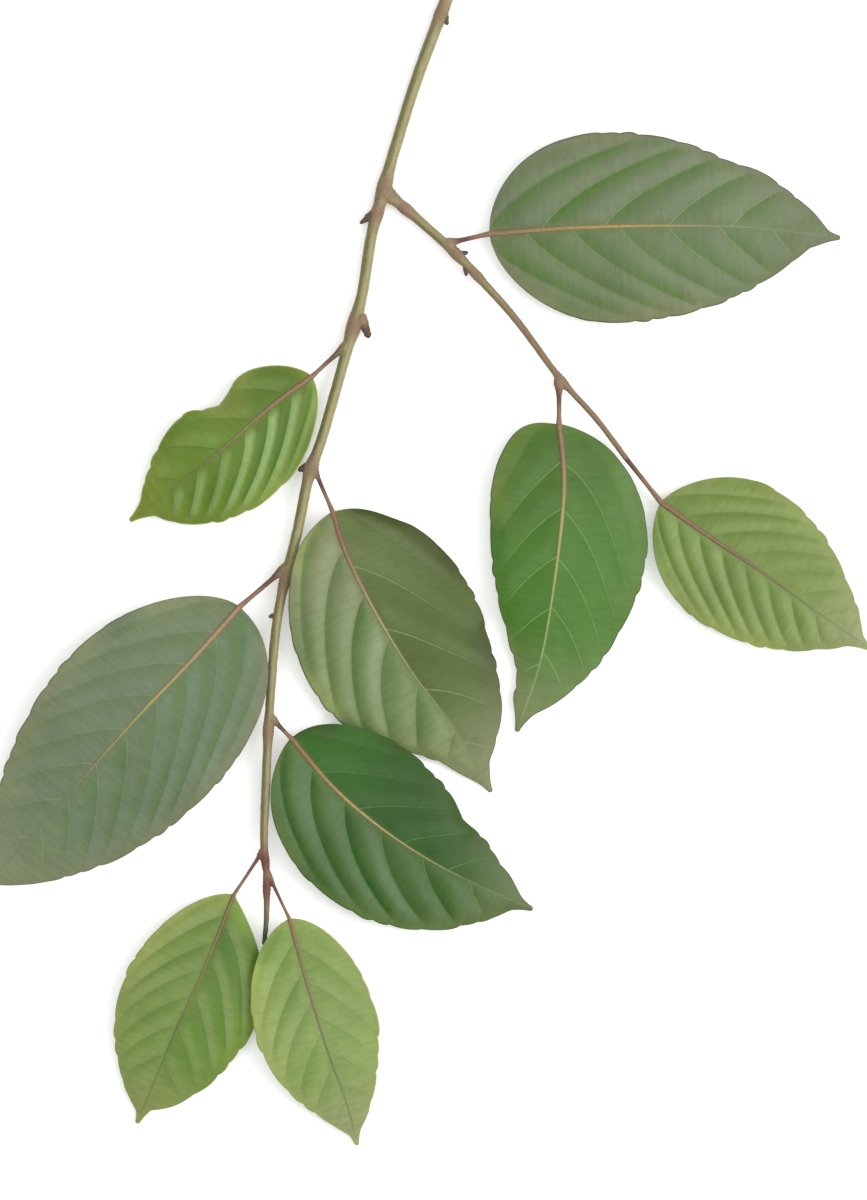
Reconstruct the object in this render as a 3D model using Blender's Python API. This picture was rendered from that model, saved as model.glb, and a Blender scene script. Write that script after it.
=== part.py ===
"""A leafy sprig cut from a woody shrub and laid down flat.

One main stem carries six leaves and a side twig, and the twig carries three more. Every leaf is
a stalk and a broad blade with a slim drip tip. The sprig rests on its cut end and on the tips
of its outer leaves, and the rest of it arches a few millimetres above the ground.

The sprig is drawn in plan, in millimetres: +Y runs towards the cut end of the stem, +X to the
side of the twig and +Z up. settle() then puts the middle of its footprint on the origin.
"""

import math
from collections import namedtuple

import bmesh
import bpy
import numpy as np
from mathutils import Vector

MM = 0.001  # metres in a millimetre

GAP = 0.3  # air between neighbouring pieces

# Radii in even steps, from the cut end to the dried tip and from the fork to the last stalk.
STEM_RADII = (1.58, 1.42, 1.4, 1.32, 1.3, 1.12, 1.08, 0.4)
TWIG_RADII = (1.25, 1.1, 0.9, 0.75, 0.7)
FORK_RADII = (1.3, 1.6, 1.6, 1.4)  # of the short branch on the stem that carries the twig
# Shares of a stalk's own radius, in even steps away from the stem.
CUSHION_FLARE = (1.8, 2.0, 1.6, 1.4)  # of the cushion on the stem that the stalk sits on
STALK_FLARE = (1.4, 1.0, 1.0, 1.3)
STALK_ARCH = 0.3  # how far the middle of a stalk stands above its ends
TUBE_RINGS = 56
STALK_RINGS = 8
TUBE_ROUNDNESS = 3  # a curve's bevel resolution: 3 gives ten sides
WELD = 0.01  # points closer than this are one
SHARP = 60  # degrees: an edge that turns more than this isn't shaded smooth

BLADE_THICKNESS = 0.4
BLADE_ROWS = 20
BLADE_COLUMNS = 8
TIP_HALF_WIDTH = 0.55  # of the drip tip, just before it rounds off
TIP_FLARE = 0.15  # how much wider it gets with each mm away from its end
TIP_SPREAD = 0.045  # and with each square mm, so that its sides are hollow
TIP_LENGTH = 11  # how far back that goes on
MARGIN_WAVES = 2.5  # ups and downs of a margin from base to tip
LOBE_FADE = 10  # how quickly a lobe at the base dies away towards the tip
PATH_STEPS = 24  # steps between two given points of a path, before it is spaced evenly

# Main stem from the cut end to the dried tip: across, along, height of its middle.
STEM_PATH = (
    (4.8, 154.5, 1.6), (0.4, 143, 1.6), (-4.2, 130.5, 1.6), (-9.1, 115, 1.7), (-13.0, 101, 1.9),
    (-15.7, 90.5, 2.2), (-17.9, 76.5, 2.6), (-21.7, 62.5, 3.0), (-27.6, 41.5, 3.5), (-31.2, 31, 3.8),
    (-34.1, 17, 4.3), (-37.6, 3, 4.6), (-39.6, -9, 4.8), (-41.1, -29, 4.9), (-41.9, -46, 4.8),
    (-42.4, -60, 4.6), (-41.8, -69, 4.4), (-41.8, -79, 4.0), (-42.4, -87, 3.6),
)
# Side twig from the fork to the stalk of its last leaf.
TWIG_PATH = (
    (-8.9, 99.6, 2.4), (-2.4, 94, 2.8), (5.1, 87.2, 3.0), (12, 80, 3.2), (21.2, 69.5, 3.4),
    (31.2, 56, 3.6), (41, 45, 3.7), (48.4, 35.2, 3.7),
)
FORK = (-12.6, 102.6, 2.0)  # where the twig grows out of the stem's middle

# Swollen nodes: distance along the path, extra radius, half-length.
STEM_NODES = (
    (8.2, 0.2, 1.6), (54.0, 0.5, 3.5), (61.0, 0.25, 2.0), (89.0, 0.4, 3.0),
    (127.0, 0.6, 2.2), (156.5, 0.2, 2.0), (193.5, 0.3, 2.5), (226.0, 0.2, 2.0), (233.0, 0.25, 2.2),
)
TWIG_NODES = ((2.6, 0.3, 2.0), (19.5, 0.35, 2.4), (27.0, 0.2, 1.6), (61.0, 0.35, 2.4))
Stem = namedtuple("Stem", "path taper nodes")
STEMS = {
    "main_stem": Stem(STEM_PATH, STEM_RADII, STEM_NODES),
    "side_twig": Stem(TWIG_PATH, TWIG_RADII, TWIG_NODES),
}

# Half of a blade. width: its widest, in mm. widest: how far from base to tip that is.
# base: 0.5 rounds the base like an ellipse, 1 makes it a wedge. shoulder: the same, tipwards.
# reach: where the broad part has shrunk to the drip tip. rise: its slope away from the midrib.
# droop: how far the margin hangs below that slope, in mm, near the base and near the tip.
# fold: a dip in the margin, as its place and half-length and how far it pulls in and drops.
# lobe: how strongly the margin near the base swings back past the end of the stalk, in mm.
Half = namedtuple("Half", "width widest base shoulder reach rise droop fold lobe",
                  defaults=((0.5, 0.1, 0.0, 0.0), 0.0))
# A leaf. node: the middle of the stem where its stalk grows. thick: the stalk's radius.
# midrib: points from base to tip. left and right are as seen looking from base to tip.
# wave: the swing of the margins, in mm.
Leaf = namedtuple("Leaf", "name node thick midrib left right wave")

LEAVES = (
    Leaf("twig_leaf_1", (3.0, 89.2, 3.0), 0.65,
         ((14.0, 91.6, 4.2), (35, 92.9, 7.2), (58, 93.4, 8.0), (80, 93.1, 5.0), (102.1, 90.8, 0.5)),
         Half(23.6, 0.32, 0.52, 0.85, 0.97, 0.03, (1.0, 2.5), (0.66, 0.07, 0.9, 0.6)),
         Half(24.0, 0.35, 0.60, 0.65, 0.92, 0.0, (1.5, 3.0)), 0.5),
    Leaf("twig_leaf_2", (31.4, 55.6, 3.6), 0.65,
         ((31.4, 44.0, 4.4), (32.5, 33.3, 6.2), (32.2, 21.8, 7.4), (29.9, 2.5, 6.6),
          (26.6, -16, 3.6), (20.8, -33.1, 1.0)),
         Half(22.0, 0.38, 0.75, 0.86, 0.94, 0.05, (1.0, 2.5)),
         Half(18.2, 0.25, 0.36, 1.20, 0.95, 0.0, (1.0, 2.0), lobe=4.5), 0.5),
    Leaf("twig_leaf_3", (48.4, 35.2, 3.7), 0.65,
         ((56.9, 24.5, 3.9), (69, 15.8, 6.0), (82.1, 7, 6.4), (96, -3, 4.2), (109.9, -12.5, 0.5)),
         Half(19.0, 0.35, 0.65, 0.85, 0.95, 0.05, (1.5, 2.5)),
         Half(19.0, 0.38, 0.62, 0.80, 0.92, -0.04, (1.0, 2.5)), 0.6),
    Leaf("stem_leaf_1", (-21.0, 64.6, 2.9), 0.6,
         ((-30.4, 55.8, 6.8), (-40.5, 48.3, 8.2), (-52.8, 37.6, 8.0), (-64.8, 28.3, 5.0),
          (-76.2, 19.8, 0.5)),
         Half(16.9, 0.44, 0.60, 0.58, 0.90, -0.02, (0.6, 2.0)),
         Half(13.8, 0.46, 0.62, 0.80, 0.92, 0.05, (0.5, 1.5), (0.38, 0.11, 4.3, 3.0)), 0.4),
    Leaf("stem_leaf_2", (-30.6, 34.6, 3.7), 0.55,
         ((-25.2, 22.0, 6.4), (-21.8, 11.5, 8.0), (-14.9, -2.4, 7.6), (-5.3, -18.2, 6.0),
          (5.4, -32.4, 3.8), (14.5, -48.2, 1.0)),
         Half(23.6, 0.40, 0.47, 0.72, 0.92, 0.0, (2.0, 2.0)),
         Half(23.4, 0.44, 0.68, 1.60, 1.00, 0.0, (0.4, 4.2)), 0.4),
    Leaf("stem_leaf_3", (-36.4, 8.6, 4.5), 0.65,
         ((-48.4, -1.7, 7.0), (-60.1, -14.8, 9.8), (-74.2, -29.6, 10.2), (-88.6, -45.6, 7.4),
          (-103.0, -61.4, 3.2), (-111.6, -71, 0.5)),
         Half(25.9, 0.40, 0.46, 0.80, 1.00, -0.04, (0.8, 3.5)),
         Half(22.7, 0.40, 0.60, 0.80, 0.98, 0.02, (0.6, 1.2)), 0.6),
    Leaf("stem_leaf_4", (-41.0, -29.0, 4.9), 0.55,
         ((-35.6, -34.5, 6.0), (-24.7, -47, 9.0), (-12.6, -57.2, 9.6), (-0.2, -65.4, 7.8),
          (12.2, -71.8, 4.6), (24.9, -77.6, 1.0)),
         Half(19.3, 0.34, 0.50, 0.95, 0.96, 0.02, (0.8, 1.5), (0.65, 0.07, 1.4, 1.2)),
         Half(22.0, 0.41, 0.62, 0.80, 0.94, -0.06, (1.5, 3.0)), 0.5),
    Leaf("stem_leaf_5", (-42.2, -62.0, 4.6), 0.45,
         ((-49.9, -73.7, 4.8), (-57.2, -91.8, 6.4), (-65.3, -109.5, 4.8), (-74.4, -131.3, 0.5)),
         Half(17.4, 0.44, 1.00, 0.60, 0.93, -0.03, (1.4, 2.4)),
         Half(17.2, 0.46, 0.65, 0.85, 0.96, 0.04, (0.6, 1.2)), 0.4),
    Leaf("stem_leaf_6", (-41.9, -67.4, 4.4), 0.42,
         ((-36.0, -79.7, 6.2), (-31.4, -96.3, 8.4), (-26.7, -111.8, 7.6), (-21.6, -126.5, 3.8),
          (-19.1, -136.8, 0.5)),
         Half(14.5, 0.44, 0.60, 1.00, 0.95, 0.0, (1.0, 2.0)),
         Half(16.0, 0.44, 0.60, 0.90, 0.96, 0.0, (0.6, 1.2)), 0.4),
)
CONTINUING_LEAF = "twig_leaf_3"  # its stalk runs straight on from the end of the twig

# Buds and the stub of a lost leaf. spot: the nearest place on the middle of their stem. side: 1 is
# left of the way the stem grows and -1 right. lean: degrees that the peg tips along the stem.
Bud = namedtuple("Bud", "name stem spot side lean length wide slim")
BUDS = (
    Bud("bud_scale_top", "main_stem", (2.2, 146.6), 1, 60, 2.0, 0.45, 0.3),
    Bud("bud_spur", "main_stem", (-14.6, 96.8), -1, 50, 3.2, 0.7, 0.2),
    Bud("stalk_stub", "main_stem", (-18.7, 71.0), 1, 52, 4.2, 1.1, 0.6),
    Bud("bud_middle", "main_stem", (-31.0, 33.6), -1, 50, 1.8, 0.6, 0.25),
    Bud("bud_lower", "main_stem", (-39.1, -4.2), -1, 20, 0.9, 0.4, 0.25),
    Bud("twig_bud_1", "side_twig", (6.2, 86.0), 1, 35, 1.1, 0.4, 0.3),
    Bud("twig_bud_2", "side_twig", (8.4, 83.9), -1, 50, 1.6, 0.5, 0.2),
)

BARK = ("woody_stem", "9A9268", 0.55)
STALK = ("leaf_stalk", "7A5A4C", 0.5)
BUD = ("bud_brown", "4A382C", 0.7)
BLADE_COLOURS = {
    "twig_leaf_1": "6B7F5E", "twig_leaf_2": "4C8540", "twig_leaf_3": "8AA45C",
    "stem_leaf_1": "5F9434", "stem_leaf_2": "6A8458", "stem_leaf_3": "6C8465",
    "stem_leaf_4": "3F7A3E", "stem_leaf_5": "7FA04E", "stem_leaf_6": "93AD62",
}
BLADE_ROUGHNESS = 0.5


def clear_scene():
    for obj in list(bpy.data.objects):
        bpy.data.objects.remove(obj, do_unlink=True)


def linear(hex_colour):
    """An sRGB hex colour as the linear red, green, blue and alpha that a shader takes."""
    shares = [int(hex_colour[i:i + 2], 16) / 255 for i in (0, 2, 4)]
    return [c / 12.92 if c <= 0.04045 else ((c + 0.055) / 1.055) ** 2.4 for c in shares] + [1.0]


def material(name, hex_colour, roughness):
    made = bpy.data.materials.new(name)
    made.use_nodes = True
    shader = made.node_tree.nodes["Principled BSDF"]
    shader.inputs["Base Color"].default_value = linear(hex_colour)
    shader.inputs["Roughness"].default_value = roughness
    shader.inputs["Metallic"].default_value = 0.0
    return made


def add_object(name, mesh, finish):
    obj = bpy.data.objects.new(name, mesh)
    bpy.context.scene.collection.objects.link(obj)
    mesh.materials.append(finish)
    mesh.shade_smooth()
    mesh.set_sharp_from_angle(angle=math.radians(SHARP))
    return obj


def unit(vector):
    return vector / np.linalg.norm(vector)


def smooth_path(points):
    """A fine curve through the points (Catmull-Rom), and the distance in plan to each step."""
    ends = np.array(points, float)
    ends = np.vstack([2 * ends[0] - ends[1], ends, 2 * ends[-1] - ends[-2]])
    t = np.linspace(0, 1, PATH_STEPS, endpoint=False)[:, None]
    spans = []
    for a, b, c, d in zip(ends, ends[1:], ends[2:], ends[3:]):
        spans.append(0.5 * (2 * b + (c - a) * t + (2 * a - 5 * b + 4 * c - d) * t**2
                            + (3 * b - a - 3 * c + d) * t**3))
    fine = np.vstack(spans + [ends[-2:-1]])
    steps = np.linalg.norm(np.diff(fine[:, :2], axis=0), axis=1)
    return fine, np.concatenate([[0.0], np.cumsum(steps)])


def points_at(path, distances):
    fine, run = path
    return np.column_stack([np.interp(distances, run, fine[:, axis]) for axis in range(3)])


def tube_mesh(name, points, radii):
    """A closed tube along the points: a bevelled curve turned into a mesh with welded caps."""
    curve = bpy.data.curves.new(name, "CURVE")
    curve.dimensions = "3D"
    curve.bevel_depth = MM
    curve.bevel_resolution = TUBE_ROUNDNESS
    curve.use_fill_caps = True
    spline = curve.splines.new("POLY")
    spline.points.add(len(points) - 1)
    for spot, point, radius in zip(spline.points, points, radii):
        spot.co = (*(point * MM), 1.0)
        spot.radius = radius
    guide = bpy.data.objects.new(name + "_guide", curve)
    bpy.context.scene.collection.objects.link(guide)
    seen = guide.evaluated_get(bpy.context.evaluated_depsgraph_get())
    mesh = bpy.data.meshes.new_from_object(seen)
    bpy.data.objects.remove(guide, do_unlink=True)
    mesh.name = name
    work = bmesh.new()
    work.from_mesh(mesh)
    bmesh.ops.remove_doubles(work, verts=work.verts, dist=WELD * MM)
    bmesh.ops.recalc_face_normals(work, faces=work.faces)
    work.to_mesh(mesh)
    work.free()
    return mesh


def stem_radius(stem, spots, length):
    """Radius at each distance along a stem: an even taper with a ring of extra wood at each node."""
    radii = np.interp(spots / length, np.linspace(0, 1, len(stem.taper)), stem.taper)
    for place, extra, half in stem.nodes:
        radii = radii + extra * np.exp(-((spots - place) / half) ** 2)
    return radii


def stem_at(name, spot):
    """The middle of a stem nearest to a place, the way it grows there, and its radius."""
    stem = STEMS[name]
    points, run = smooth_path(stem.path)
    axes = len(spot)
    nearest = int(np.argmin(np.linalg.norm(points[:, :axes] - spot, axis=1)))
    onward = unit(points[min(nearest + 1, len(points) - 1)] - points[nearest - 1])
    return points[nearest], onward, float(stem_radius(stem, run[nearest], run[-1]))


def swollen_tube(name, finish):
    stem = STEMS[name]
    path = smooth_path(stem.path)
    length = path[1][-1]
    spots = set(np.linspace(0, length, TUBE_RINGS))
    for place, _, half in stem.nodes:
        spots |= {place - half, place, place + half}
    spots = np.array(sorted(spot for spot in spots if 0 <= spot <= length))
    mesh = tube_mesh(name, points_at(path, spots), stem_radius(stem, spots, length))
    return add_object(name, mesh, finish)


def join_cushion(stem, name, start, end, radii):
    """Grows a short stub out of a stem, for a leaf stalk or a twig to sit on."""
    start, end = np.array(start, float), np.array(end, float)
    points = np.linspace(start, end, len(radii))
    helper = add_object(name, tube_mesh(name, points, radii), stem.data.materials[0])
    helper.hide_render = True
    helper.display_type = "WIRE"
    union = stem.modifiers.new(name, "BOOLEAN")
    union.operation = "UNION"
    union.object = helper


def half_width(half, s, length):
    """Distance from midrib to margin, in mm, at the fraction s of the way from base to tip."""
    if s < half.widest:
        body = half.width * (1 - ((half.widest - s) / half.widest) ** 2) ** half.base
    else:
        beyond = min((s - half.widest) / (half.reach - half.widest), 1)
        body = half.width * (1 - beyond**2) ** half.shoulder
    to_end = (1 - s) * length
    rounded = math.sqrt(1 - (1 - min(to_end / TIP_HALF_WIDTH, 1)) ** 2)
    flare = (TIP_FLARE + TIP_SPREAD * to_end) * to_end
    tip = TIP_HALF_WIDTH * rounded + flare * math.exp(-((to_end / TIP_LENGTH) ** 4))
    return (body**3 + tip**3) ** (1 / 3)


def blade_point(leaf, side, s, v, on_rib, along, length):
    """A point of the blade: v runs from 0 on the midrib to 1 on the margin."""
    half = leaf.left if side > 0 else leaf.right
    across = np.array((-along[1], along[0]))
    reach = half_width(half, s, length)
    droop = half.droop[0] + (half.droop[1] - half.droop[0]) * s
    height = half.rise * v * reach - droop * v**2 * reach / half.width
    height += leaf.wave * v**2 * math.sin(math.tau * MARGIN_WAVES * s + side) * reach / half.width
    place, span, pull, drop = half.fold
    fold = math.exp(-((s - place) / span) ** 2)
    reach -= pull * fold
    height -= drop * fold * v**3
    backward = half.lobe * v**2 * (1 - s) ** LOBE_FADE * reach / half.width
    plan = across * side * v * reach - along * backward
    return Vector(on_rib) + Vector((*plan, height))


def blade(leaf, finish):
    """The blade as one thin sheet, thickened to a closed solid by a Solidify modifier."""
    path = smooth_path(leaf.midrib)
    length = path[1][-1]
    fractions = [(1 - math.cos(math.pi * row / BLADE_ROWS)) / 2 for row in range(BLADE_ROWS)]
    rib = points_at(path, np.array(fractions) * length)
    ahead = points_at(path, np.array(fractions) * length + 1)
    sheet = bmesh.new()
    rows = []
    for s, here, there in zip(fractions, rib, ahead):
        along = unit((there - here)[:2])
        row = []
        for column in range(-BLADE_COLUMNS // 2, BLADE_COLUMNS // 2 + 1):
            side = -1 if column < 0 else 1
            v = abs(column) / (BLADE_COLUMNS // 2)
            place = blade_point(leaf, side, s, v, here, along, length)
            row.append(sheet.verts.new(place * MM))
        rows.append(row)
    for low, high in zip(rows, rows[1:]):
        for a, b, c, d in zip(low, low[1:], high[1:], high):
            sheet.faces.new((d, c, b, a))
    tip = sheet.verts.new(Vector(leaf.midrib[-1]) * MM)
    for a, b in zip(rows[-1], rows[-1][1:]):
        sheet.faces.new((tip, b, a))
    bmesh.ops.recalc_face_normals(sheet, faces=sheet.faces)
    mesh = bpy.data.meshes.new(leaf.name + "_blade")
    sheet.to_mesh(mesh)
    sheet.free()
    made = add_object(leaf.name + "_blade", mesh, finish)
    skin = made.modifiers.new("thickness", "SOLIDIFY")
    skin.thickness = BLADE_THICKNESS * MM
    skin.offset = 0.0
    return made


def owner_of(leaf):
    return "side_twig" if leaf.name.startswith("twig") else "main_stem"


def stalk_ends(leaf):
    """Where a stalk's cushion starts, where it ends clear of the stem, and where the blade starts.

    A stalk leaves its stem at a sharp angle, so its end is clear only once it has run far enough.
    """
    node, base = np.array(leaf.node, float), np.array(leaf.midrib[0], float)
    run = unit(base - node)
    if leaf.name == CONTINUING_LEAF:
        return node, node, base
    _, onward, radius = stem_at(owner_of(leaf), node)
    cosine = float(np.dot(run, onward))
    flare = leaf.thick * STALK_FLARE[0]
    clear = (radius + GAP + flare * cosine) / math.sqrt(1 - cosine**2)
    return node, node + run * clear, base


def stalk(leaf, finish):
    """A leaf stalk that leaves its cushion and bends gently into the midrib."""
    _, start, end = stalk_ends(leaf)
    away = unit(end - start) * GAP
    start, end = start + away, end - away
    middle = (start + end) / 2 + np.array((0, 0, STALK_ARCH))
    path = smooth_path((start, middle, end))
    spots = np.linspace(0, path[1][-1], STALK_RINGS)
    flare = np.interp(spots / path[1][-1], np.linspace(0, 1, len(STALK_FLARE)), STALK_FLARE)
    mesh = tube_mesh(leaf.name + "_stalk", points_at(path, spots), leaf.thick * flare)
    return add_object(leaf.name + "_stalk", mesh, finish)


def bud(peg, finish):
    """A bud scale or stub: a short tapering peg beside its stem, clear of it by the gap."""
    middle, onward, radius = stem_at(peg.stem, peg.spot)
    outward = unit(np.array((-onward[1], onward[0], 0.0))) * peg.side
    lean = math.radians(peg.lean)
    direction = outward * math.cos(lean) + onward * math.sin(lean)
    start = middle + outward * (radius + GAP + peg.wide * math.sin(lean))
    points = np.linspace(start, start + direction * peg.length, 4)
    radii = (0.8 * peg.wide, peg.wide, (peg.wide + peg.slim) / 2, peg.slim)
    return add_object(peg.name, tube_mesh(peg.name, points, radii), finish)


def stems_and_twig(bark):
    """The main stem and the side twig, each with the cushions that its leaves sit on."""
    stems = {name: swollen_tube(name, bark) for name in STEMS}
    fork, twig_start = np.array(FORK, float), np.array(TWIG_PATH[0], float)
    away = unit(twig_start - fork)
    join_cushion(stems["main_stem"], "fork_branch", fork, twig_start - away * GAP, FORK_RADII)
    for leaf in LEAVES:
        if leaf.name == CONTINUING_LEAF:
            continue
        root, end, _ = stalk_ends(leaf)
        radii = [leaf.thick * share for share in CUSHION_FLARE]
        join_cushion(stems[owner_of(leaf)], leaf.name + "_cushion", root, end, radii)


def settle():
    """Moves every piece so that the middle of the footprint, on the ground, is the origin."""
    bpy.context.view_layer.update()
    graph = bpy.context.evaluated_depsgraph_get()
    corners = []
    for obj in bpy.context.scene.objects:
        if not obj.hide_render:
            mesh = obj.evaluated_get(graph).to_mesh()
            corners += [obj.matrix_world @ vert.co for vert in mesh.vertices]
    low = np.min(corners, axis=0)
    high = np.max(corners, axis=0)
    middle = Vector(((low[0] + high[0]) / 2, (low[1] + high[1]) / 2, low[2]))
    for obj in bpy.context.scene.objects:
        obj.location -= middle


def main():
    clear_scene()
    bark, stalk_skin, bud_skin = material(*BARK), material(*STALK), material(*BUD)
    stems_and_twig(bark)
    for leaf in LEAVES:
        stalk(leaf, stalk_skin)
        blade(leaf, material(leaf.name, BLADE_COLOURS[leaf.name], BLADE_ROUGHNESS))
    for peg in BUDS:
        bud(peg, bud_skin)
    settle()


main()
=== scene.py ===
"""Looks for a leafy sprig: veined blades, stalks that run on as midribs, young bark and buds.

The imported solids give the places. Each blade is drawn again by the rule that shapes its solid,
with a fine mesh that has room for teeth, side veins and the quilting between them.
Lengths are in millimetres unless a comment says otherwise, and MM turns them into metres.
"""

import math
from collections import namedtuple

import bmesh
import bpy
import numpy as np
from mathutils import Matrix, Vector, noise


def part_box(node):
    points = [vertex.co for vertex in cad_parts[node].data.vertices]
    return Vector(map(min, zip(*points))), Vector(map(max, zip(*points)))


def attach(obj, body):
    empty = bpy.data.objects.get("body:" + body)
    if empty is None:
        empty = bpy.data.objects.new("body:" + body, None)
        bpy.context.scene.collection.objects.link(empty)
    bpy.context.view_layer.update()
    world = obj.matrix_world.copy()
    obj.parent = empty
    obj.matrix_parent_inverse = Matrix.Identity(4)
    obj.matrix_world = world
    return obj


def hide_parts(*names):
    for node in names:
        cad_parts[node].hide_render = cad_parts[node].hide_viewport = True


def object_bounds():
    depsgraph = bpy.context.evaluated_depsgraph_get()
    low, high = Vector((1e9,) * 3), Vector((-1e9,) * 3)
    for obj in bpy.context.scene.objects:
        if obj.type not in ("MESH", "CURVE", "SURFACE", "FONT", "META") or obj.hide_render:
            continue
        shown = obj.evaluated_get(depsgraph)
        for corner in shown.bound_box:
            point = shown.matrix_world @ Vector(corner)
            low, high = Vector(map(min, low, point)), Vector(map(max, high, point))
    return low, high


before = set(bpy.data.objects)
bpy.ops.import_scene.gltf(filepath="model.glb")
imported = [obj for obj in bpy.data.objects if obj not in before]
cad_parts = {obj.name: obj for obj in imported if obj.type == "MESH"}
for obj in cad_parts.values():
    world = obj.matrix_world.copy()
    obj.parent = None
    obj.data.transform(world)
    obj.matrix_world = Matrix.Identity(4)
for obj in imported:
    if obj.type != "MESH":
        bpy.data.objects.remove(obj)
CAD_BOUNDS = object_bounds()

bl_info = {
    "name": "Leafy Sprig Looks",
    "version": (1, 0, 0),
    "blender": (4, 5, 0),
    "location": "View3D > Sidebar > Sprig",
    "description": "Blades, stalks, bark and buds around the solids of a leafy sprig",
    "category": "Object",
}

MM = 0.001  # metres in a millimetre

# ---------------------------------------------------------------- the shape of the sprig

# Half of a blade. width: its widest, in mm. widest: how far from base to tip that is.
# base: 0.5 rounds the base like an ellipse, 1 makes it a wedge. shoulder: the same, tipwards.
# reach: where the broad part has shrunk to the drip tip. rise: its slope away from the midrib.
# droop: how far the margin hangs below that slope, in mm, near the base and near the tip.
# fold: a dip in the margin, as its place and half-length and how far it pulls in and drops.
# lobe: how strongly the margin near the base swings back past the end of the stalk, in mm.
Half = namedtuple("Half", "width widest base shoulder reach rise droop fold lobe",
                  defaults=((0.5, 0.1, 0.0, 0.0), 0.0))
# A leaf. node: the middle of the stem where its stalk grows. thick: the stalk's radius.
# midrib: points from base to tip. left and right are as seen looking from base to tip.
# wave: the swing of the margins, in mm.
Leaf = namedtuple("Leaf", "name node thick midrib left right wave")

LEAVES = (
    Leaf("twig_leaf_1", (3.0, 89.2, 3.0), 0.65,
         ((14.0, 91.6, 4.2), (35, 92.9, 7.2), (58, 93.4, 8.0), (80, 93.1, 5.0), (102.1, 90.8, 0.5)),
         Half(23.6, 0.32, 0.52, 0.85, 0.97, 0.03, (1.0, 2.5), (0.66, 0.07, 0.9, 0.6)),
         Half(24.0, 0.35, 0.60, 0.65, 0.92, 0.0, (1.5, 3.0)), 0.5),
    Leaf("twig_leaf_2", (31.4, 55.6, 3.6), 0.65,
         ((31.4, 44.0, 4.4), (32.5, 33.3, 6.2), (32.2, 21.8, 7.4), (29.9, 2.5, 6.6),
          (26.6, -16, 3.6), (20.8, -33.1, 1.0)),
         Half(22.0, 0.38, 0.75, 0.86, 0.94, 0.05, (1.0, 2.5)),
         Half(18.2, 0.25, 0.36, 1.20, 0.95, 0.0, (1.0, 2.0), lobe=4.5), 0.5),
    Leaf("twig_leaf_3", (48.4, 35.2, 3.7), 0.65,
         ((56.9, 24.5, 3.9), (69, 15.8, 6.0), (82.1, 7, 6.4), (96, -3, 4.2), (109.9, -12.5, 0.5)),
         Half(19.0, 0.35, 0.65, 0.85, 0.95, 0.05, (1.5, 2.5)),
         Half(19.0, 0.38, 0.62, 0.80, 0.92, -0.04, (1.0, 2.5)), 0.6),
    Leaf("stem_leaf_1", (-21.0, 64.6, 2.9), 0.6,
         ((-30.4, 55.8, 6.8), (-40.5, 48.3, 8.2), (-52.8, 37.6, 8.0), (-64.8, 28.3, 5.0),
          (-76.2, 19.8, 0.5)),
         Half(16.9, 0.44, 0.60, 0.58, 0.90, -0.02, (0.6, 2.0)),
         Half(13.8, 0.46, 0.62, 0.80, 0.92, 0.05, (0.5, 1.5), (0.38, 0.11, 4.3, 3.0)), 0.4),
    Leaf("stem_leaf_2", (-30.6, 34.6, 3.7), 0.55,
         ((-25.2, 22.0, 6.4), (-21.8, 11.5, 8.0), (-14.9, -2.4, 7.6), (-5.3, -18.2, 6.0),
          (5.4, -32.4, 3.8), (14.5, -48.2, 1.0)),
         Half(23.6, 0.40, 0.47, 0.72, 0.92, 0.0, (2.0, 2.0)),
         Half(23.4, 0.44, 0.68, 1.60, 1.00, 0.0, (0.4, 4.2)), 0.4),
    Leaf("stem_leaf_3", (-36.4, 8.6, 4.5), 0.65,
         ((-48.4, -1.7, 7.0), (-60.1, -14.8, 9.8), (-74.2, -29.6, 10.2), (-88.6, -45.6, 7.4),
          (-103.0, -61.4, 3.2), (-111.6, -71, 0.5)),
         Half(25.9, 0.40, 0.46, 0.80, 1.00, -0.04, (0.8, 3.5)),
         Half(22.7, 0.40, 0.60, 0.80, 0.98, 0.02, (0.6, 1.2)), 0.6),
    Leaf("stem_leaf_4", (-41.0, -29.0, 4.9), 0.55,
         ((-35.6, -34.5, 6.0), (-24.7, -47, 9.0), (-12.6, -57.2, 9.6), (-0.2, -65.4, 7.8),
          (12.2, -71.8, 4.6), (24.9, -77.6, 1.0)),
         Half(19.3, 0.34, 0.50, 0.95, 0.96, 0.02, (0.8, 1.5), (0.65, 0.07, 1.4, 1.2)),
         Half(22.0, 0.41, 0.62, 0.80, 0.94, -0.06, (1.5, 3.0)), 0.5),
    Leaf("stem_leaf_5", (-42.2, -62.0, 4.6), 0.45,
         ((-49.9, -73.7, 4.8), (-57.2, -91.8, 6.4), (-65.3, -109.5, 4.8), (-74.4, -131.3, 0.5)),
         Half(17.4, 0.44, 1.00, 0.60, 0.93, -0.03, (1.4, 2.4)),
         Half(17.2, 0.46, 0.65, 0.85, 0.96, 0.04, (0.6, 1.2)), 0.4),
    Leaf("stem_leaf_6", (-41.9, -67.4, 4.4), 0.42,
         ((-36.0, -79.7, 6.2), (-31.4, -96.3, 8.4), (-26.7, -111.8, 7.6), (-21.6, -126.5, 3.8),
          (-19.1, -136.8, 0.5)),
         Half(14.5, 0.44, 0.60, 1.00, 0.95, 0.0, (1.0, 2.0)),
         Half(16.0, 0.44, 0.60, 0.90, 0.96, 0.0, (0.6, 1.2)), 0.4),
)

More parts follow.
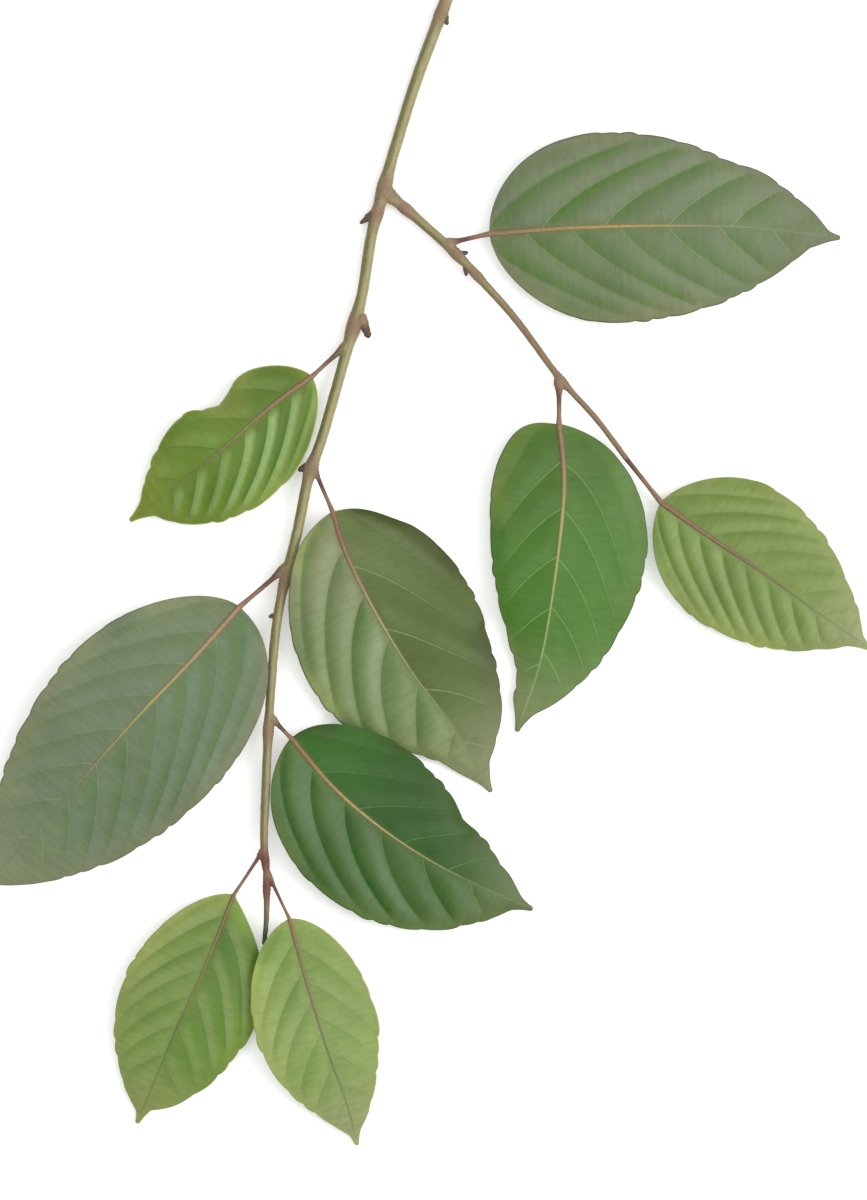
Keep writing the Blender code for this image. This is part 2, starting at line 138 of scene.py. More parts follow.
# A stem. path: the middle of it from its thick end. taper: radii in even steps.
# nodes: swellings, as distance along, extra radius and half-length.
Stem = namedtuple("Stem", "path taper nodes")
STEMS = {
    "main_stem": Stem(
        ((4.8, 154.5, 1.6), (0.4, 143, 1.6), (-4.2, 130.5, 1.6), (-9.1, 115, 1.7), (-13.0, 101, 1.9),
         (-15.7, 90.5, 2.2), (-17.9, 76.5, 2.6), (-21.7, 62.5, 3.0), (-27.6, 41.5, 3.5),
         (-31.2, 31, 3.8), (-34.1, 17, 4.3), (-37.6, 3, 4.6), (-39.6, -9, 4.8), (-41.1, -29, 4.9),
         (-41.9, -46, 4.8), (-42.4, -60, 4.6), (-41.8, -69, 4.4), (-41.8, -79, 4.0), (-42.4, -87, 3.6)),
        (1.58, 1.42, 1.4, 1.32, 1.3, 1.12, 1.08, 0.55),
        ((8.2, 0.2, 1.6), (54.0, 0.5, 3.5), (61.0, 0.25, 2.0), (89.5, 0.55, 4.0), (127.0, 0.6, 2.2),
         (156.5, 0.2, 2.0), (193.5, 0.3, 2.5), (226.0, 0.2, 2.0), (233.0, 0.25, 2.2))),
    "side_twig": Stem(
        ((-8.9, 99.6, 2.4), (-2.4, 94, 2.8), (5.1, 87.2, 3.0), (12, 80, 3.2), (21.2, 69.5, 3.4),
         (31.2, 56, 3.6), (41, 45, 3.7), (48.4, 35.2, 3.7)),
        (1.25, 1.1, 0.9, 0.75, 0.7),
        ((2.6, 0.3, 2.0), (19.5, 0.35, 2.4), (27.0, 0.2, 1.6), (61.0, 0.35, 2.4))),
}
FORK = (-12.6, 102.6, 2.0)  # where the twig grows out of the stem's middle
FORK_RADII = (2.3, 2.1, 1.75, 1.5, 1.42)  # of its collar, from the stem's middle out
FORK_OVERLAP = 0.9  # how far the collar reaches over the start of the twig
CUSHION_FLARE = (1.9, 2.1, 2.1, 1.7, 1.35, 1.15, 1.05)  # shares of the stalk's radius, from the stem out
CUSHION_RUN = 1.5  # how much further than the solid's own cushion the bark runs up the stalk
CUSHION_SPREAD = 1.2  # and how much further than that
CONTINUING_LEAF = "twig_leaf_3"  # its stalk runs straight on from the end of the twig

# Buds and the stub of a lost leaf. spot: the nearest place on the middle of their stem. side: 1 is
# left of the way the stem grows and -1 right. lean: degrees that the peg tips along the stem.
# curl: how far the end bends back towards the stem. profile: radii in even steps.
# dry: how far along its colours it starts, where 0 is bark and 0.5 dry scales.
Bud = namedtuple("Bud", "name stem spot side lean length curl profile dry", defaults=(0.5,))
BUDS = (
    Bud("bud_scale_top", "main_stem", (2.2, 146.6), 1, 60, 2.6, 0.1, (0.9, 0.9, 0.6, 0.55, 0.25)),
    Bud("bud_spur", "main_stem", (-14.6, 96.8), -1, 50, 4.4, 0.3, (1.2, 1.0, 1.05, 0.6, 0.5, 0.15)),
    Bud("stalk_stub", "main_stem", (-18.7, 71.0), 1, 34, 6.1, 0.7,
        (1.7, 1.75, 1.5, 1.2, 0.98, 0.88, 0.85, 0.5), dry=0.1),
    Bud("bud_middle", "main_stem", (-31.0, 33.6), -1, 50, 2.6, 0.2, (0.9, 0.8, 0.7, 0.3)),
    Bud("bud_lower", "main_stem", (-39.1, -4.2), -1, 20, 1.6, 0.2, (0.5, 0.6, 0.45, 0.2)),
    Bud("twig_bud_1", "side_twig", (6.2, 86.0), 1, 35, 1.8, 0.2, (0.6, 0.55, 0.5, 0.25)),
    Bud("twig_bud_2", "side_twig", (8.4, 83.9), -1, 50, 2.4, 0.3, (0.7, 0.65, 0.5, 0.2)),
)

BUD_ROOT = 0.8  # how deep a bud starts in its stem, as a share of its first radius
BUD_STEPS = 28
BUD_SCALES = 4  # rings of scales on a bud
BUD_ROUND = 0.85  # how far along a bud its end starts to round off

TIP_HALF_WIDTH = 0.55  # of the drip tip, just before it rounds off
TIP_FLARE = 0.15  # how much wider it gets with each mm away from its end
TIP_SPREAD = 0.045  # and with each square mm, so that its sides are hollow
TIP_LENGTH = 11  # how far back that goes on
MARGIN_WAVES = 2.5  # ups and downs of a margin from base to tip
LOBE_FADE = 10  # how quickly a lobe at the base dies away towards the tip
PATH_STEPS = 24  # steps between two given points of a path, before it is spaced evenly

BLADE_ROWS = 300  # of the fine mesh, from base to tip
BLADE_CROWD = 0.4  # how much closer together they stand at both ends
BLADE_COLUMNS = 42  # of the fine mesh, from midrib to margin
COLUMN_CROWD = 1.1  # how much closer together they stand at the midrib
THIN_BAND = 4.0  # how far in from the margin a blade gets thinner
BUCKLES = ((9.0, 0.35), (2.5, 0.07))  # size and depth of a blade's broad swells and small dimples

STALK_ARCH = 0.3  # how far the middle of a stalk stands above its ends
STALK_ROOT = 0.6  # how deep a stalk starts in its cushion
STALK_STEPS = 24
STALK_SIDES = 14
MIDRIB_STEPS = 90
MIDRIB_END = 0.86  # how far along the blade it runs, as a share
MIDRIB_RISE = 0.12  # how far its middle stands above the middle of the blade
MIDRIB_SINK = 0.2  # how far it sinks in again towards its end
# Its radius, as a share of the stalk's, from -1 at the stem through 0 at the base of the blade.
MIDRIB_TAPER = ((-1.0, 1.0), (-0.85, 0.95), (-0.3, 0.9), (0.0, 1.15), (0.12, 1.0), (0.45, 0.56),
                (0.72, 0.34), (MIDRIB_END, 0.2))

BARK_STEP = 0.8  # between the rings of a stem's core
BARK_SIDES = 24
BARK_PROUD = 0.05  # of the solid, before the joins are smoothed
BARK_SOFTENING = 10  # rounds of smoothing
SCAN_STEP = 0.5  # between the places along a stem that the bark's points are matched to
NODE_REACH = 3.6  # how far the wrinkles and the browner bark spread from a node
RING_SPACING = 0.9  # between the ring scars of a node

# ---------------------------------------------------------------- finishes

# What differs from leaf to leaf. The colours are sRGB hex values. For each half of the blade: its
# middle, near the stalk and near the margin. Then the tip, the painted shade and the painted sheen on
# the two sides of each quilted panel, the side veins, the thin line of the margin, and the midrib near
# the stalk (also painted faintly beside the midrib as shade), half-way and at its end. veins: how many
# side veins the left and the right half have. quilt: how high their panels stand, in mm. Last: how
# strongly the painted shade and sheen show, left and right.
Look = namedtuple("Look", "left left_base left_edge right right_base right_edge tip shaded lit vein "
                          "margin root middle end veins quilt streaks")
LOOKS = {
    "twig_leaf_1": Look("5E6D4A", "5E6C4A", "6D7355", "5C6D48", "5A6D40", "6F7451", "626D4C", "4A6C2A",
                        "6B7758", "82925A", "54484A", "86704C", "A08A50", "6E805A",
                        (6, 7), (0.40, 0.40), (0.9, 0.6)),
    "twig_leaf_2": Look("487128", "4B6C2A", "587638", "3C6714", "43641E", "597129", "69784C", "34620E",
                        "567A40", "82A45C", "544648", "84684E", "98965A", "86A05C",
                        (7, 6), (0.18, 0.14), (0.35, 0.35)),
    "twig_leaf_3": Look("6E803E", "698038", "7C8B4A", "697E3C", "728B45", "84914F", "879060", "58722A",
                        "7E9258", "62744A", "8C9650", "82664A", "74644A", "62704A",
                        (8, 9), (0.45, 0.55), (0.5, 0.65)),
    "stem_leaf_1": Look("5A731D", "546A16", "748838", "5A741C", "4E6612", "768436", "6E7E27", "3E6608",
                        "8CAA68", "46662A", "A6B468", "82684A", "78704A", "56703A",
                        (8, 5), (0.75, 0.22), (1.0, 0.2)),
    "stem_leaf_2": Look("475A20", "5A6936", "374309", "647947", "757C56", "808C53", "7A825B", "46642A",
                        "84906A", "86946A", "5B4638", "7E5E48", "968A5C", "6E7A4A",
                        (5, 6), (0.12, 0.40), (0.15, 0.7)),
    "stem_leaf_3": Look("5F714E", "586D44", "6F7758", "647255", "616E4D", "737A57", "737D5D", "466A38",
                        "6E806A", "808E6A", "6E6A50", "92785A", "949058", "5E6A4C",
                        (9, 8), (0.35, 0.20), (0.55, 0.3)),
    "stem_leaf_4": Look("214B0A", "2E5F10", "2D4C0C", "3E5C24", "526F39", "536A33", "59693E", "26500E",
                        "566F4A", "5C8240", "4C5638", "8A6C4C", "A09058", "6A7A48",
                        (6, 6), (0.15, 0.45), (0.2, 0.85)),
    "stem_leaf_5": Look("5C7A2C", "446608", "6E8735", "6C843D", "657F34", "85904B", "7A854A", "426A1C",
                        "80925A", "4E6436", "8B9555", "70603C", "767044", "526040",
                        (7, 8), (0.40, 0.35), (0.6, 0.45)),
    "stem_leaf_6": Look("788E4D", "6F8840", "7F914C", "7B934E", "738E42", "909F56", "888F60", "647E38",
                        "8A9C62", "5C7242", "9CA65E", "80644A", "746A4E", "526446",
                        (7, 7), (0.30, 0.30), (0.5, 0.5)),
}

# Sizes of patterns, in mm.
PATCH_SIZE = 14.0  # broad patches of colour on a blade
PANEL_WIDTH = 8.0  # a quilted panel between two side veins
LEAF_GRAIN = 1.1  # the net of the finest veins, drawn coarse enough to show
RIB_GRAIN = 0.7
BARK_GRAIN = 0.9
SCALE_GRAIN = 0.55
RUNG_STRETCH = 0.16  # how much slower the fine veins' grain changes across the blade
UNDERSIDE = 0.45  # how strongly the underside takes its paler colour
PANEL_SEED = 4  # for how strongly each panel's painted shade and sheen show
PANEL_CHANCES = 64  # panels before those strengths repeat
GRAIN_RANGE = {"From Min": 0.3, "From Max": 0.7}  # where nearly all of a noise's values lie

# ---------------------------------------------------------------- stage

VIEW_HEIGHT = 300.0  # how much of the floor the camera's longer side takes in
FLOOR_GAP = 0.3  # between the floor and the lowest point of the solids
FLOOR_REACH = 6  # times the diagonal of the sprig
# Disks of light: name, place and size in metres, and power in watts.
LIGHTS = (("window", (0.85, 0.02, 0.95), 0.9, 9.2), ("ceiling", (-0.1, 0.1, 1.3), 1.6, 7.5))
ROOM_LIGHT = 0.56  # from all around
# painted light: the floor sheet glows by itself, which lifts the shadows on it
PAPER_GLOW = 0.22


def linear(hex_colour):
    """An sRGB hex colour as the linear red, green and blue that a shader takes."""
    shares = [int(hex_colour[i:i + 2], 16) / 255 for i in (0, 2, 4)]
    return [c / 12.92 if c <= 0.04045 else ((c + 0.055) / 1.055) ** 2.4 for c in shares]


def colour_property(name, description, hex_colour):
    return bpy.props.FloatVectorProperty(name=name, description=description, subtype="COLOR", size=3,
                                         min=0.0, max=1.0, default=linear(hex_colour))


def length_property(name, description, millimetres):
    return bpy.props.FloatProperty(name=name, description=description, unit="LENGTH", min=0.0,
                                   precision=5, default=millimetres * MM)


class SprigSizes(bpy.types.PropertyGroup):
    """Sizes that a user may change without leaving the solids' shape."""

    blade: length_property("Blade thickness", "Thickness of a blade near its midrib", 0.4)
    edge: length_property("Edge thickness", "Thickness of a blade at its margin", 0.14)
    tooth: length_property("Tooth spacing", "Distance between two notches in a margin", 6.4)
    notch: length_property("Tooth depth", "How far a tooth stands out between its notches", 0.55)
    vein: length_property("Vein width", "Width of the line that a side vein draws", 0.34)
    ladder: length_property("Ladder spacing", "Distance between the fine veins that cross a panel", 1.1)
    voxel: length_property("Bark mesh", "Size of the mesh that the bark is fused in", 0.2)
    wrinkle: length_property("Bark wrinkles", "Depth of the wrinkles in the bark", 0.05)
    camera: length_property("Camera height", "Height of the camera above the floor", 1500.0)


class SprigColours(bpy.types.PropertyGroup):
    """Colours of everything but the blades."""

    # bark is the side facing the window light; shade is painted shade, darker and greener, down the side
    # away from it
    bark: colour_property("Bark", "Young bark on the lit side of a stem", "8E875A")
    shade: colour_property("Bark, shaded side", "Greener stripe along the stem", "6A6836")
    brown: colour_property("Brown bark", "Thin bark towards the end of the twig", "7C6448")
    node: colour_property("Node", "Bark around a node", "866C56")
    red: colour_property("Young node", "Bark around the last two nodes", "6C4032")
    dried: colour_property("Dried end", "Dead bark at the far end of the stem", "3A2A1E")
    pith: colour_property("Cut", "Wood where the stem was cut", "CDBE92")
    stalk: colour_property("Stalk", "Skin of a leaf stalk near the stem", "5E3C34")
    stalk_end: colour_property("Stalk, far end", "Skin of a leaf stalk near the blade", "80604A")
    under: colour_property("Underside", "Paler underside of the blades", "A9B79A")
    bud: colour_property("Bud", "Dry scales of a bud", "5A4638")
    floor: colour_property("Floor", "Pale sheet that the sprig lies on", "FDFDFD")


class LeafLook(bpy.types.PropertyGroup):
    """Colours and relief of one blade. Its name is the leaf's."""

    left: colour_property("Left half", "Left of the midrib, looking from base to tip", "5E6D4A")
    left_base: colour_property("Left base", "Left half near the stalk", "5E6C4A")
    left_edge: colour_property("Left edge", "Left half near the margin", "66714E")
    right: colour_property("Right half", "Right of the midrib", "5C6D48")
    right_base: colour_property("Right base", "Right half near the stalk", "586C3E")
    right_edge: colour_property("Right edge", "Right half near the margin", "6A734F")
    tip: colour_property("Tip", "Towards the drip tip", "66734E")
    # shaded and lit: painted shade and painted sheen on the two sides of each quilted panel
    shaded: colour_property("Shaded side", "Side of a panel that falls to the vein behind it", "58883C")
    lit: colour_property("Lit side", "Side of a panel that turns to the light", "84927E")
    vein: colour_property("Side veins", "Line along a side vein", "98AC7C")
    margin: colour_property("Margin", "Thin line around the blade", "5A5048")
    root: colour_property("Midrib root", "Midrib where the stalk enters", "8A6F4E")
    middle: colour_property("Midrib middle", "Midrib half-way", "A58E55")
    end: colour_property("Midrib end", "Where the midrib fades out", "90A070")
    veins: bpy.props.IntVectorProperty(name="Side veins", size=2, default=(7, 7),
                                       description="Side veins in the left and the right half")
    quilt: bpy.props.FloatVectorProperty(name="Quilting", size=2, unit="LENGTH", precision=5,
                                         default=(0.4 * MM, 0.4 * MM),
                                         description="Height of the panels, left and right")
    # How strongly the painted shade and painted sheen of the panels show
    streaks: bpy.props.FloatVectorProperty(name="Streaks", size=2, min=0, max=1, default=(0.5, 0.5),
                                           description="Contrast of each panel's two sides")


# ---------------------------------------------------------------- paths and outlines


def unit(vector):
    return vector / np.linalg.norm(vector)


def ease(low, high, value):
    """0 before low, 1 past high and a smooth step between them. With low above high it falls."""
    t = np.clip((value - low) / (high - low), 0, 1)
    return t * t * (3 - 2 * t)


def smooth_path(points):
    """A fine curve through the points (Catmull-Rom), and the distance in plan to each step."""
    ends = np.array(points, float)
    ends = np.vstack([2 * ends[0] - ends[1], ends, 2 * ends[-1] - ends[-2]])
    t = np.linspace(0, 1, PATH_STEPS, endpoint=False)[:, None]
    spans = []
    for a, b, c, d in zip(ends, ends[1:], ends[2:], ends[3:]):
        spans.append(0.5 * (2 * b + (c - a) * t + (2 * a - 5 * b + 4 * c - d) * t**2
                            + (3 * b - a - 3 * c + d) * t**3))
    fine = np.vstack(spans + [ends[-2:-1]])
    steps = np.linalg.norm(np.diff(fine[:, :2], axis=0), axis=1)
    return fine, np.concatenate([[0.0], np.cumsum(steps)])


def points_at(path, distances):
    """Points on a smooth path at the given distances from its start."""
    fine, run = path
    return np.column_stack([np.interp(distances, run, fine[:, axis]) for axis in range(3)])


def half_width(half, s, length):
    """Distance from midrib to margin at the fractions s of the way from base to tip."""
    before = half.width * (1 - np.clip((half.widest - s) / half.widest, 0, 1) ** 2) ** half.base
    beyond = np.clip((s - half.widest) / (half.reach - half.widest), 0, 1)
    after = half.width * (1 - beyond**2) ** half.shoulder
    body = np.where(s < half.widest, before, after)
    to_end = (1 - s) * length
    rounded = np.sqrt(1 - (1 - np.clip(to_end / TIP_HALF_WIDTH, 0, 1)) ** 2)
    flare = (TIP_FLARE + TIP_SPREAD * to_end) * to_end
    tip = TIP_HALF_WIDTH * rounded + flare * np.exp(-((to_end / TIP_LENGTH) ** 4))
    return (body**3 + tip**3) ** (1 / 3)


def teeth(reach, s, length, sizes, seed):
    """How far the margin stands out: round lobes that lean forward, with a sharp notch between."""
    steps = np.hypot(np.diff(reach), np.diff(s) * length)
    run = np.concatenate([[0.0], np.cumsum(steps)]) / (sizes.tooth / MM)
    run = run + 0.35 * np.sin(run * 1.7 + seed)  # no two teeth are the same length
    lobe = run - np.floor(run)
    shape = (1 - (2 * lobe**1.5 - 1) ** 2) ** 0.6
    height = 0.85 + 0.3 * np.sin(np.floor(run) * 2.4 + seed * 3.1)
    place = ease(0.12, 0.5, s) * (1 - ease(0.84, 0.92, s))
    return (shape * height - 0.6) * place * sizes.notch / MM


def half_sheet(leaf, side, s, v, sizes=None, look=None):
    """One half of a blade's middle surface as a grid of points, and what its materials need.

    s runs from base to tip and v from the midrib to the margin. Without sizes it is the plain
    sheet of the solid; with them it has teeth, and panels that bulge between the side veins.
    """
    half, hand = (leaf.left, 0) if side > 0 else (leaf.right, 1)
    path = smooth_path(leaf.midrib)
    length = path[1][-1]
    rib, ahead = points_at(path, s * length), points_at(path, s * length + 1)
    last = points_at(path, [length - 1])[0]
    along = ahead[:, :2] - rib[:, :2]
    along = np.where(s[:, None] * length > length - 1, (path[0][-1] - last)[:2], along)
    along /= np.linalg.norm(along, axis=1)[:, None]
    across = np.column_stack([-along[:, 1], along[:, 0]]) * side
    reach = half_width(half, s, length)
    full = reach.copy()
    droop = half.droop[0] + (half.droop[1] - half.droop[0]) * s
    place, span, pull, drop = half.fold
    fold = np.exp(-((s - place) / span) ** 2)
    lift = leaf.wave * np.sin(math.tau * MARGIN_WAVES * s + side) - droop
    margin = reach - pull * fold
    if sizes:
        margin = margin + teeth(reach, s, length, sizes, len(leaf.name) + 2.0 * leaf.thick + side)
    s, v = s[:, None], v[None, :]
    out = v * (reach - pull * fold)[:, None] + v**6 * (margin - reach + pull * fold)[:, None]
    height = (half.rise * v * full[:, None] + v**2 * (lift * full / half.width)[:, None]
              - drop * fold[:, None] * v**3)
    backward = half.lobe * v**2 * (1 - s) ** LOBE_FADE * full[:, None] / half.width
    facts = {}
    if sizes:
        to_margin = margin[:, None] - out
        forward = 0.7 * out + 0.045 * out**2  # side veins leave steeply and arch towards the tip
        station = s - (forward - backward) / length
        count = look.veins[hand]
        vein = count * station + (0.35 if side < 0 else 0.0) + 0.12 * np.sin(5.0 * s + side)
        spread = ease(0.3, 3.0, out) * ease(0.0, 3.5, to_margin) * (1 - ease(0.8, 0.97, s))
        panel = np.abs(np.sin(math.pi * vein)) ** 0.8 * ease(-0.8, 0.4, vein)
        height = height + look.quilt[hand] / MM * (panel - 0.45) * spread
        facts = {"side": side * v + 0 * s, "station": s + 0 * v, "vein": vein, "rib": out,
                 "along": s * length + 0 * v,
                 "rim": np.minimum(to_margin, (1 - s) * length)}
    plan = rib[:, None, :2] + across[:, None, :] * out[..., None] - along[:, None, :] * backward[..., None]
    points = np.concatenate([plan, (rib[:, 2:3] + height)[..., None]], axis=2)
    return points, facts


def spaced(count, crowd):
    """Fractions from 0 to 1 that stand closer together at both ends. crowd is 0 for even ones."""
    t = np.linspace(0, 1, count)
    return t - crowd * np.sin(math.tau * t) / math.tau


def whole_sheet(leaf, s, v, sizes=None, look=None):
    """Both halves of a blade side by side, from the right margin to the left one."""
    left, facts = half_sheet(leaf, 1, s, v, sizes, look)
    right, others = half_sheet(leaf, -1, s, v, sizes, look)
    points = np.concatenate([right[:, :0:-1], left], axis=1)
    return points, {key: np.concatenate([others[key][:, :0:-1], facts[key]], axis=1) for key in facts}


def design_to_frame():
    """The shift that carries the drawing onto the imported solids, read from the blades' boxes."""
    shifts = []
    for leaf in LEAVES:
        points, _ = whole_sheet(leaf, spaced(60, 0.7), np.linspace(0, 1, 9))
        middle = (points.min(axis=(0, 1)) + points.max(axis=(0, 1))) / 2
        low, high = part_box(leaf.name + "_blade")
        shifts.append((np.array(low) + np.array(high)) / 2 / MM - middle)
    return np.mean(shifts, axis=0)


SHIFT = design_to_frame()


# ---------------------------------------------------------------- meshes


def new_object(name, mesh, material):
    """An object in the scene that shows a mesh, with one material or with none of its own."""
    obj = bpy.data.objects.new(name, mesh)
    bpy.context.scene.collection.objects.link(obj)
    if material:
        mesh.materials.clear()
        mesh.materials.append(material)
    return obj


def give(mesh, facts):
    """Stores a number for each point under each name, for materials and node trees to read."""
    for name, values in facts.items():
        mesh.attributes.new(name, "FLOAT", "POINT").data.foreach_set("value", np.ravel(values))


def give_weave(mesh, *axes):
    """Stores how far each point is along and across the grain, and which piece of grain it is on."""
    vectors = np.stack([np.ravel(axis) for axis in axes], axis=-1)
    mesh.attributes.new("weave", "FLOAT_VECTOR", "POINT").data.foreach_set("vector", np.ravel(vectors))


def plain_mesh(obj):
    """The object's mesh with its modifiers made real. The object itself is removed."""
    graph = bpy.context.evaluated_depsgraph_get()
    mesh = bpy.data.meshes.new_from_object(obj.evaluated_get(graph))
    bpy.data.objects.remove(obj, do_unlink=True)
    return mesh


def face_outwards(mesh):
    """Turns every face of a closed mesh outwards and shades it smooth."""
    work = bmesh.new()
    work.from_mesh(mesh)
    bmesh.ops.recalc_face_normals(work, faces=work.faces)
    work.to_mesh(mesh)
    work.free()
    mesh.shade_smooth()


def add(tree, kind, links=None, **settings):
    """Adds a node with its settings. links gives its inputs a value, an output or a node's first output."""
    made = tree.nodes.new(kind)
    for key, value in settings.items():
        setattr(made, key, value)
    for key, value in (links or {}).items():
        if isinstance(value, bpy.types.Node):
            value = value.outputs[0]
        if isinstance(value, bpy.types.NodeSocket):
            tree.links.new(value, made.inputs[key])
        else:
            made.inputs[key].default_value = value
    return made


def tube_tree():
    """Node tree for a tube that follows a line of points, each with its own thickness."""
    tree = bpy.data.node_groups.new("tube_along_a_line", "GeometryNodeTree")
    for name, kind in (("Line", "Geometry"), ("Sides", "Int"), ("Material", "Material")):
        tree.interface.new_socket(name, in_out="INPUT", socket_type="NodeSocket" + kind)
    tree.interface.new_socket("Tube", in_out="OUTPUT", socket_type="NodeSocketGeometry")
    given = add(tree, "NodeGroupInput").outputs
    thick = add(tree, "GeometryNodeInputNamedAttribute", {"Name": "thick"}, data_type="FLOAT")
    line = add(tree, "GeometryNodeMeshToCurve", {"Mesh": given["Line"]})
    ring = add(tree, "GeometryNodeCurvePrimitiveCircle", {"Resolution": given["Sides"], "Radius": 1.0})
    tube = add(tree, "GeometryNodeCurveToMesh", {"Curve": line.outputs["Curve"],
                                                 "Profile Curve": ring.outputs["Curve"],
                                                 "Scale": thick.outputs["Attribute"],
                                                 "Fill Caps": True})
    real = add(tree, "GeometryNodeRealizeInstances", {"Geometry": tube.outputs["Mesh"]})
    painted = add(tree, "GeometryNodeSetMaterial", {"Geometry": real.outputs["Geometry"],
                                                    "Material": given["Material"]})
    add(tree, "NodeGroupOutput", {"Tube": painted.outputs["Geometry"]})
    return tree


def tube(name, points, radii, material, sides, facts=None):
    """A closed tube along the points as a plain mesh. facts are numbers per point to carry along."""
    mesh = bpy.data.meshes.new(name)
    edges = [(i, i + 1) for i in range(len(points) - 1)]
    mesh.from_pydata((np.array(points) * MM).tolist(), edges, [])
    give(mesh, {"thick": np.array(radii) * MM, **(facts or {})})
    obj = new_object(name, mesh, None)
    tree = bpy.data.node_groups.get("tube_along_a_line") or tube_tree()
    skin = obj.modifiers.new("tube", "NODES")
    skin.node_group = tree
    inputs = {item.name: item.identifier for item in tree.interface.items_tree if item.in_out == "INPUT"}
    skin[inputs["Sides"]] = sides
    if material:
        skin[inputs["Material"]] = material
    made = plain_mesh(obj)
    face_outwards(made)
    made.name = name
    return made


# ---------------------------------------------------------------- materials


def new_material(name):
    """An empty node material, its tree and its shader."""
    material = bpy.data.materials.new(name)
    material.use_nodes = True
    tree = material.node_tree
    return material, tree, tree.nodes["Principled BSDF"]


def paint(tree, skin, colours, names):
    """Lays named colours over a skin, each as thickly as the mesh's number of that name says."""
    for name in names:
        share = add(tree, "ShaderNodeAttribute", attribute_name=name).outputs["Fac"]
        mixed = add(tree, "ShaderNodeMix", {0: share, 6: skin, 7: (*getattr(colours, name), 1)},
                    data_type="RGBA")
        skin = mixed.outputs[2]
    return skin


def set_stops(ramp, stops):
    """Gives a colour ramp its stops: for each a place from 0 to 1, a colour and how opaque it is."""
    while len(ramp.elements) < len(stops):
        ramp.elements.new(1.0)
    for element, (place, colour, alpha) in zip(ramp.elements, stops):
        element.position = place
        element.color = (*colour, alpha)


def show_grain(tree, shader, skin, grain, shades, strength, depth):
    """Darkens and lightens a skin between the two shades of its grain, and lets the grain stand out."""
    value = add(tree, "ShaderNodeMapRange", {"Value": grain, "To Min": shades[0], "To Max": shades[1],
                                             **GRAIN_RANGE})
    skin = add(tree, "ShaderNodeHueSaturation", {"Value": value, "Color": skin})
    tree.links.new(skin.outputs["Color"], shader.inputs["Base Color"])
    bump = add(tree, "ShaderNodeBump", {"Height": grain, "Strength": strength, "Distance": depth * MM})
    tree.links.new(bump.outputs["Normal"], shader.inputs["Normal"])


